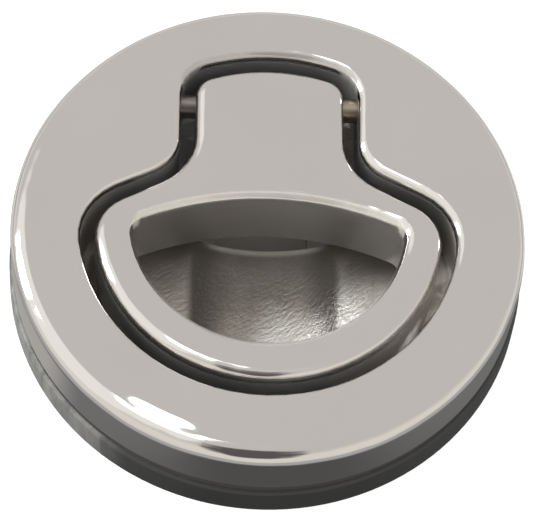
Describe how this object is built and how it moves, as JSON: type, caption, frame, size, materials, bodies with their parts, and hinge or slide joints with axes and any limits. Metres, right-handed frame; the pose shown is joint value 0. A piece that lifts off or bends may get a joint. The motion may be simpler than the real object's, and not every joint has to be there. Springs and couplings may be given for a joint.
{
  "type": "flush latch",
  "caption": "Round flush pull latch: polished cast flange with a keyhole pocket, a T-shaped pull lever with a finger opening, and a sprung slam bolt that the lever draws back.",
  "frame": {"origin": "centre of the panel hole, in the plane of the gasket's seating face", "axes": "+Z out of the panel towards the user, +Y from the finger opening towards the hinge and the bolt's nose"},
  "size_m": [0.0626, 0.0688, 0.0375],
  "materials": {
    "polished_steel": "polished cast stainless steel",
    "plain_steel": "satin stainless steel",
    "spring_steel": "drawn spring wire",
    "black_rubber": "matte moulded rubber",
    "black_plastic": "satin moulded plastic"
  },
  "bodies": {
    "body": {"bezel": "polished_steel", "gasket": "black_rubber", "clamp_nut": "black_plastic", "hinge_pin": "plain_steel", "pin_set_screw": "plain_steel", "stop_bumper": "black_rubber", "bolt_housing": "black_plastic", "housing_screws": "plain_steel", "bolt_spring_left": "spring_steel", "bolt_spring_right": "spring_steel"},
    "lever": {"pull_lever": "polished_steel"},
    "bolt": {"latch_bolt": "plain_steel"}
  },
  "joints": [
    {"name": "lever_hinge", "type": "hinge", "parent": "body", "child": "lever", "pos_m": [0, 0.0185, 0.005], "axis": [-1, 0, 0], "range_deg": [0, 35]},
    {"name": "bolt_slide", "type": "slide", "parent": "body", "child": "bolt", "axis": [0, -1, 0], "range_m": [0, 0.0114], "stiffness_N_per_m": 40, "springref_m": -0.012, "deforming": ["bolt_spring_left", "bolt_spring_right"]}
  ],
  "couplings": [
    {"joint": "bolt_slide", "follows": "lever_hinge", "m_per_rad": 0.01862}
  ]
}
